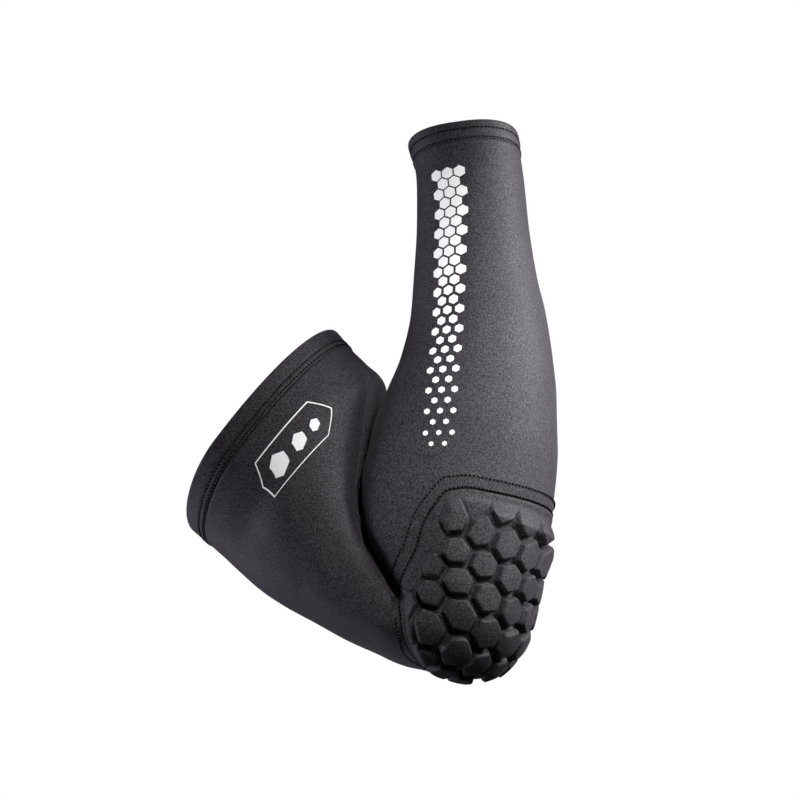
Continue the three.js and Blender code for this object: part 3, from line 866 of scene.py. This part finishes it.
# The strip up the forearm: a honeycomb three cells wide, whose cells shrink towards the elbow.
STRIP_FROM, STRIP_TO = 27 * MM, 176 * MM
STRIP_CELL = 6.3 * MM  # between centres
STRIP_SIZES = (0, 0.35, 1), (0.51, 0.48, 0.2)  # how far along, and a cell's radius in pitches
STRIP_LINE = [(27, 0.300), (42, 0.293), (71, 0.299), (98, 0.302), (126, 0.288), (153, 0.268),
              (178, 0.256)]  # length in mm and share of the way round


def forearm_place(flat):
    along = flat[:, 1]
    middle = np.interp(along / MM, *zip(*STRIP_LINE))
    return along, middle + flat[:, 0] / girth_at(along)


bm = bmesh.new()
row_step = STRIP_CELL * math.cos(math.pi / 6)
rows = int((STRIP_TO - STRIP_FROM) / row_step)
for i in range(rows + 1):
    wide = (-1, 0, 1) if i % 2 == 0 else (-0.5, 0.5)
    size = STRIP_CELL * float(np.interp(i / rows, *STRIP_SIZES))
    for k in wide:
        hexagon(bm, (k * STRIP_CELL, STRIP_FROM + i * row_step), size)
forearm_print = lay_print("forearm_honeycomb_print", bm, forearm_place)

# The plaque on the upper arm: a thin outline, itself a long hexagon, and three cells in it.
PLAQUE_MIDDLE = (383 * MM, 0.262)  # length and share of the way round
PLAQUE_SIZE = (52 * MM, 21 * MM)
PLAQUE_LINE = 0.6 * MM
PLAQUE_CELLS = ((-12, 6.0), (2.5, 4.5), (13.5, 3.1))  # place along it and radius, mm
SHORT_SIDE, LONG_SIDE = 10, 30  # points on a side


def upper_arm_place(flat):
    along = PLAQUE_MIDDLE[0] + flat[:, 1]
    return along, PLAQUE_MIDDLE[1] + flat[:, 0] / girth_at(along)


def long_hexagon(inset):
    """Points round a long hexagon, close enough to bend with the cloth."""
    w, h = PLAQUE_SIZE[0] / 2 - inset / math.cos(math.pi / 6), PLAQUE_SIZE[1] / 2 - inset
    end = h / math.sqrt(3)
    corners = [(-w, 0), (-w + end, -h), (w - end, -h), (w, 0), (w - end, h), (-w + end, h)]
    points = []
    counts = (SHORT_SIDE, LONG_SIDE, SHORT_SIDE) * 2
    for (x0, y0), (x1, y1), count in zip(corners, corners[1:] + corners[:1], counts):
        points += [(x0 + (x1 - x0) * k / count, y0 + (y1 - y0) * k / count) for k in range(count)]
    return points


bm = bmesh.new()
outlined(bm, long_hexagon(0), long_hexagon(PLAQUE_LINE))
for centre, radius in PLAQUE_CELLS:
    hexagon(bm, (centre * MM, 0), radius * MM, cuts=3)
upper_arm_print = lay_print("upper_arm_plaque_print", bm, upper_arm_place)
print("print faces:", len(forearm_print.data.polygons), len(upper_arm_print.data.polygons))

# %% [markdown]
# ## The pad, flat
# Such a pad is moulded flat: a sheet of foam between two layers of knit is pressed in a hot mould,
# which leaves rounded hexagon cells standing on a thin base. It is then cut out and sewn on. It is
# made here in the same order: a flat height for every point first, then the wrapping.

# %% Pad sizes and outline
PAD_WIDTH = 134 * MM
PAD_HEIGHT = 121 * MM
PAD_RIM = 1.3 * MM
PAD_BASE = 2.4 * MM
CELL_HEIGHT = 4.0 * MM
CELL_ACROSS = 14.8 * MM  # at the foot
CELL_PITCH = 17.4 * MM
CELL_SHIFT = 0.4
TRIM_INSET = 3.2 * MM  # where a cell that the outline cuts has sloped down to the base
TRIM_SLOPE = 0.93
CELL_INSET = 2.6 * MM  # a cell is there only if its centre is this far inside
SEAM_WIDTH = 7.2 * MM
COLUMN_PITCH = CELL_PITCH * math.cos(math.pi / 6)

# Shares of the pad's width to the right and of its height upwards.
PAD_OUTLINE = [
    (-0.045, 0.57), (-0.14, 0.48), (-0.188, 0.36), (-0.24, 0.237), (-0.265, 0.13), (-0.245, 0.03),
    (-0.2, -0.09), (-0.125, -0.22), (-0.04, -0.31), (0.08, -0.37), (0.23, -0.39), (0.39, -0.37),
    (0.53, -0.29), (0.62, -0.16), (0.655, -0.01), (0.64, 0.14), (0.58, 0.26), (0.49, 0.35),
    (0.38, 0.43), (0.25, 0.503), (0.1, 0.565), (0.02, 0.58),
]


def closed_curve(corners, count):
    """Evenly spaced points on a smooth closed curve through the corners, and the way out of it."""
    p = np.asarray(corners)
    fine = []
    for i in range(len(p)):
        a, b, c, d = (p[(i + k) % len(p)] for k in (-1, 0, 1, 2))
        t = np.linspace(0, 1, 40, endpoint=False)[:, None]
        fine.append(0.5 * (2 * b + (c - a) * t + (2 * a - 5 * b + 4 * c - d) * t**2
                           + (3 * b - a - 3 * c + d) * t**3))
    fine = np.concatenate(fine + [fine[0][:1]])
    length = np.concatenate(([0], np.cumsum(np.linalg.norm(np.diff(fine, axis=0), axis=1))))
    even = np.linspace(0, length[-1], count, endpoint=False)
    points = np.stack([np.interp(even, length, fine[:, i]) for i in (0, 1)], 1)
    ahead = np.roll(points, -1, axis=0) - np.roll(points, 1, axis=0)
    ahead /= np.linalg.norm(ahead, axis=1)[:, None]
    return points, np.stack((ahead[:, 1], -ahead[:, 0]), 1)


OUTLINE_STEPS = 620
outline, outline_out = closed_curve(
    [(right * PAD_WIDTH, up * PAD_HEIGHT) for right, up in PAD_OUTLINE], OUTLINE_STEPS)
outline_length = OUTLINE_STEPS * float(np.linalg.norm(outline[1] - outline[0]))
print("pad outline, mm round:", round(outline_length / MM))

# %% [markdown]
# ### Wrapping
# Foam bends round an elbow much as a bandage does: each flat point ends up in one direction from a
# place inside the joint. So a flat point becomes a direction, and it lands where that direction
# meets the sleeve.

# %% Wrapping the flat pad
WRAP_TURN, WRAP_DROP, WRAP_ROLL = math.radians(57), math.radians(40), math.radians(5)
WRAP_RADIUS = 68 * MM
WRAP_TIGHTEN = 0.16
WRAP_CENTRE = Vector((-25 * MM, 0, 12 * MM))

wrap_out = Vector((math.cos(WRAP_DROP) * math.cos(WRAP_TURN),
                   -math.cos(WRAP_DROP) * math.sin(WRAP_TURN), -math.sin(WRAP_DROP)))
level_right = Vector((math.sin(WRAP_TURN), math.cos(WRAP_TURN), 0))
wrap_right = Matrix.Rotation(WRAP_ROLL, 3, wrap_out) @ level_right
wrap_up = wrap_out.cross(wrap_right)

WRAP_GRID = 1.2 * MM
WRAP_LOW = np.array((-54 * MM, -66 * MM))
WRAP_STEPS = (130, 130)
WRAP_FACE = (168, 236)  # a plainer grid of the sleeve is enough to land on
WRAP_MISSED = 50 * MM  # how far out a direction ends that meets no cloth


def wrap_directions(flat):
    away = np.maximum(np.linalg.norm(flat, axis=1), 1e-9)
    share = away / WRAP_RADIUS
    angle = share * (1 + WRAP_TIGHTEN * share**2)
    axes = [np.array(a) for a in (wrap_out, wrap_right, wrap_up)]
    spread = (np.sin(angle) / away)[:, None]
    aside = spread * flat[:, :1] * axes[1] + spread * flat[:, 1:] * axes[2]
    return np.cos(angle)[:, None] * axes[0] + aside


def soften(table, times):
    """Evens out a grid of points a little, so that the sleeve's facets don't show through."""
    for _ in range(times):
        for axis in (0, 1):
            inner = 0.25 * (np.roll(table, 1, axis) + np.roll(table, -1, axis)) + 0.5 * table
            keep = [slice(1, -1) if a == axis else slice(None) for a in (0, 1)]
            table[tuple(keep)] = inner[tuple(keep)]
    return table


def wrap_tables():
    """Where a grid of flat points lands on the sleeve, and the way out there."""
    bm = sleeve_tube(*WRAP_FACE, 0.0)
    face = BVHTree.FromBMesh(bm)
    bm.free()
    steps = [np.arange(n) * WRAP_GRID for n in WRAP_STEPS]
    flat = np.stack(np.meshgrid(*steps, indexing="ij"), -1) + WRAP_LOW
    landed = []
    for way in wrap_directions(flat.reshape(-1, 2)):
        hit = face.ray_cast(WRAP_CENTRE, Vector(way))[0]
        landed.append(hit if hit else WRAP_CENTRE + Vector(way) * WRAP_MISSED)
    points = soften(np.array(landed).reshape(*WRAP_STEPS, 3), 3)
    out = np.cross(np.gradient(points, axis=0), np.gradient(points, axis=1))
    out /= np.maximum(np.linalg.norm(out, axis=2), 1e-12)[..., None]
    return points, soften(out, 2)


wrap_points, wrap_normals = wrap_tables()


def wrap(flat, height):
    """Lays flat points on the sleeve, at a height over its face."""
    at = (flat - WRAP_LOW) / WRAP_GRID
    i0 = np.clip(np.floor(at).astype(int), 0, np.array(WRAP_STEPS) - 2)
    t = at - i0
    i, j, a, b = i0[:, 0], i0[:, 1], t[:, :1], t[:, 1:]

    def mixed(table):
        near = table[i, j] * (1 - b) + table[i, j + 1] * b
        return near * (1 - a) + (table[i + 1, j] * (1 - b) + table[i + 1, j + 1] * b) * a

    out = mixed(wrap_normals)
    out /= np.linalg.norm(out, axis=1)[:, None]
    return mixed(wrap_points) + out * np.asarray(height)[..., None], out


# %% Cells of the pad
SIDE_TRIM = 5.4 * MM  # the cells on the upper left are cut off this much further in
SIDE_LEFT, SIDE_LOW, SIDE_HIGH = (-8 * MM, 8 * MM), (14 * MM, 30 * MM), (50 * MM, 62 * MM)
side_share = smooth_step(*SIDE_LEFT, -outline[:, 0]) * smooth_step(*SIDE_LOW, outline[:, 1])
side_share *= 1 - smooth_step(*SIDE_HIGH, outline[:, 1])


def insets_of(flat):
    """How far inside the outline each flat point is, less than zero outside; and the same for the
    line that cuts the cells."""
    away = np.full(len(flat), np.inf)
    inset, side = np.zeros(len(flat)), np.zeros(len(flat))
    for p, out, share in zip(outline[::2], outline_out[::2], side_share[::2]):
        gap = flat - p
        distance = np.hypot(gap[:, 0], gap[:, 1])
        closer = distance < away
        inset = np.where(closer, np.where(gap @ out < 0, distance, -distance), inset)
        side = np.where(closer, share, side)
        away = np.minimum(away, distance)
    return inset, inset - SIDE_TRIM * side


MOST = 9  # columns and rows of cells on each side of the middle, more than the pad has
column, row = np.meshgrid(np.arange(-MOST, MOST + 1), np.arange(-MOST, MOST + 1), indexing="ij")
cell_shift = CELL_SHIFT + np.where(column % 2 == 1, 0.5, 0)
cell_centres = np.stack((column * COLUMN_PITCH, (row + cell_shift) * CELL_PITCH), -1)
cell_kept = insets_of(cell_centres.reshape(-1, 2))[1].reshape(column.shape) > CELL_INSET
vary = np.random.default_rng(7)
# no two cells come out of the mould quite alike
cell_size = 1 + 0.025 * vary.uniform(-1, 1, column.shape)
cell_rise = 1 + 0.07 * vary.uniform(-1, 1, column.shape)
cell_tilt = 0.05 * vary.uniform(-1, 1, (*column.shape, 2))
print("cells:", int(cell_kept.sum()))

HEXAGON_POWER = 26  # how sharp the corners of a cell are


def nearest_cell(flat):
    """Distance from the nearest cell's centre, the cell, and the way from its centre. A hexagon's
    side counts as far as its corner."""
    best = np.full(len(flat), np.inf)
    cell = np.full((len(flat), 2), MOST)
    offset = np.zeros((len(flat), 2))
    near_column = np.rint(flat[:, 0] / COLUMN_PITCH).astype(int)
    for side in (-1, 0, 1):
        i = np.clip(near_column + side + MOST, 0, 2 * MOST)
        j = np.rint(flat[:, 1] / CELL_PITCH - cell_shift[i, MOST]).astype(int)
        j = np.clip(j + MOST, 0, 2 * MOST)
        gap = flat - cell_centres[i, j]
        dx, dy = gap[:, 0] * math.cos(math.pi / 6), gap[:, 1]
        edges = np.abs(np.stack([dy, dx + dy / 2, dx - dy / 2]))
        away = (edges ** HEXAGON_POWER).sum(axis=0) ** (1 / HEXAGON_POWER) / cell_size[i, j]
        away = np.where(cell_kept[i, j], away, np.inf)
        closer = away < best
        best = np.where(closer, away, best)
        cell = np.where(closer[:, None], np.stack((i, j), 1), cell)
        offset = np.where(closer[:, None], gap, offset)
    return best, cell, offset


# %% Height of the pad at a flat point
SHOULDER = 1.45 * MM  # how far in from its foot a cell reaches its full height
CROWN = 0.3 * MM  # how much a cell's top is domed
CELL_DOWN = 0.15 * MM  # makes room for part of the dome
BLEND = 0.22 * MM  # of a cell's top into the slope that cuts it
DISH, DISH_AWAY, DISH_WIDTH = 0.35 * MM, 0.9 * MM, 0.8 * MM  # the groove round a cell
RIM_TO, BASE_FROM = 1.5 * MM, 4.5 * MM  # the rim rises to the base between these insets


def soft_least(a, b, blend):
    return -np.log(np.exp(-a / blend) + np.exp(-b / blend)) * blend


def pad_height(flat):
    """Height over the sleeve: the thin rim, the base and the cells with their rounded shoulders."""
    inset, trimmed = insets_of(flat)
    away, cell, offset = nearest_cell(flat)
    i, j = cell[:, 0], cell[:, 1]
    foot = CELL_ACROSS / 2
    down = np.clip((away - foot + SHOULDER) / SHOULDER, 0, 1)
    wall = (1 - down**2.2) ** 0.75
    crown = CROWN * (1 - np.clip(away / foot, 0, 1) ** 2)
    tilt = (cell_tilt[i, j] * offset).sum(axis=1)
    rise = ((CELL_HEIGHT - CELL_DOWN) * cell_rise[i, j] + crown + tilt) * wall
    slope = np.clip((trimmed - TRIM_INSET) * TRIM_SLOPE, 0, None)
    rise = np.maximum(soft_least(rise, slope, BLEND), 0)
    dish = -DISH * np.exp(-((away - foot - DISH_AWAY) / DISH_WIDTH) ** 2)
    base = PAD_RIM + (PAD_BASE - PAD_RIM) * smooth_step(RIM_TO, BASE_FROM, inset)
    edge = smooth_step(0, 0.8 * MM, inset)
    return base * (0.55 + 0.45 * edge) + rise + dish * (rise < 0.5 * MM)


# %% [markdown]
# ### Pad
# The mesh is a fan of rings from the middle of the pad out to its cut edge, so the edge is clean.
# The upper face carries the cells and the lower face lies on the sleeve.

# %% Pad
PAD_SEAT = 0.35 * MM
TOP_RINGS, UNDER_RINGS = 122, 9


def make_pad():
    shares = np.concatenate((np.linspace(0, 1, TOP_RINGS + 1), np.linspace(1, 0, UNDER_RINGS + 1)))
    rows = len(shares) - 1
    bm, around, up = flat_grid(OUTLINE_STEPS, rows, PAD_WIDTH, PAD_HEIGHT)
    k = np.rint(up * rows).astype(int)
    j = np.rint(around * OUTLINE_STEPS).astype(int) % OUTLINE_STEPS
    centre = outline.mean(axis=0)
    flat = centre + shares[k][:, None] * (outline[j] - centre)
    height = np.where(k <= TOP_RINGS, pad_height(flat), 0.0) + PAD_SEAT
    put(bm, wrap(flat, height)[0])
    close_up(bm)
    piece = new_piece("elbow_pad_foam", bm)
    piece.data.materials.append(pad_knit)
    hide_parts("elbow_pad")
    return piece


pad = make_pad()
print("pad faces:", len(pad.data.polygons))

# %% [markdown]
# ## Seam band
# A flat seam joins the pad's rim to the sleeve: two rows of stitches with a strip of cloth between.

# %% Seam band
BAND_SEAT, BAND_THICK = 0.15 * MM, 0.6 * MM
# Across the band: shares of its width and of its thickness. It is a bit fuller beside the stitches.
BAND_PROFILE = [(0, 0.0), (0, 0.75), (0.12, 1.0), (0.25, 0.8), (0.4, 0.95), (0.6, 0.95),
                (0.75, 0.8), (0.88, 1.0), (1, 0.75), (1, 0.0)]
SEAM_STITCH_ROWS = (0.1, 0.93)  # shares of the width
SEAM_STITCH_OUT = 0.95 * MM
EVEN_OUT = 200  # how often the widths are evened out along the outline


def seam_widths():
    """The flat width at each outline point that comes out as the seam's width when wrapped."""
    level = np.zeros(OUTLINE_STEPS)
    ends = [wrap(outline + outline_out * width, level)[0] for width in (GAP, GAP + SEAM_WIDTH)]
    stretch = np.linalg.norm(ends[1] - ends[0], axis=1) / SEAM_WIDTH
    for _ in range(EVEN_OUT):
        stretch = 0.5 * stretch + 0.25 * (np.roll(stretch, 1) + np.roll(stretch, -1))
    return SEAM_WIDTH / stretch


seam_wide = seam_widths()
print("flat seam width, mm:", round(seam_wide.min() / MM, 1), "to", round(seam_wide.max() / MM, 1))


def make_band():
    rows = len(BAND_PROFILE)
    bm, around, up = flat_grid(OUTLINE_STEPS, rows, outline_length, SEAM_WIDTH)
    k = np.rint(up * rows).astype(int) % rows
    j = np.rint(around * OUTLINE_STEPS).astype(int) % OUTLINE_STEPS
    share, high = np.array(BAND_PROFILE)[k].T
    flat = outline[j] + outline_out[j] * (GAP + share * seam_wide[j])[:, None]
    put(bm, wrap(flat, high * BAND_THICK + BAND_SEAT)[0])
    close_up(bm)
    piece = new_piece("pad_seam_cloth", bm)
    piece.data.materials.append(band_knit)
    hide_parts("pad_seam_band")
    return piece


band = make_band()


def seam_path(share, out):
    flat = outline + outline_out * (GAP + share * seam_wide)[:, None]
    return wrap(np.concatenate((flat, flat[:1])), np.full(len(flat) + 1, out))


bm = bmesh.new()
for share in SEAM_STITCH_ROWS:
    lay_stitches(bm, *seam_path(share, SEAM_STITCH_OUT), SEAM_STITCH_THICK)
band_stitches = stitch_piece("pad_seam_stitches", bm)
print("stitches round the pad:", len(band_stitches.data.polygons) // BALL_FACES)
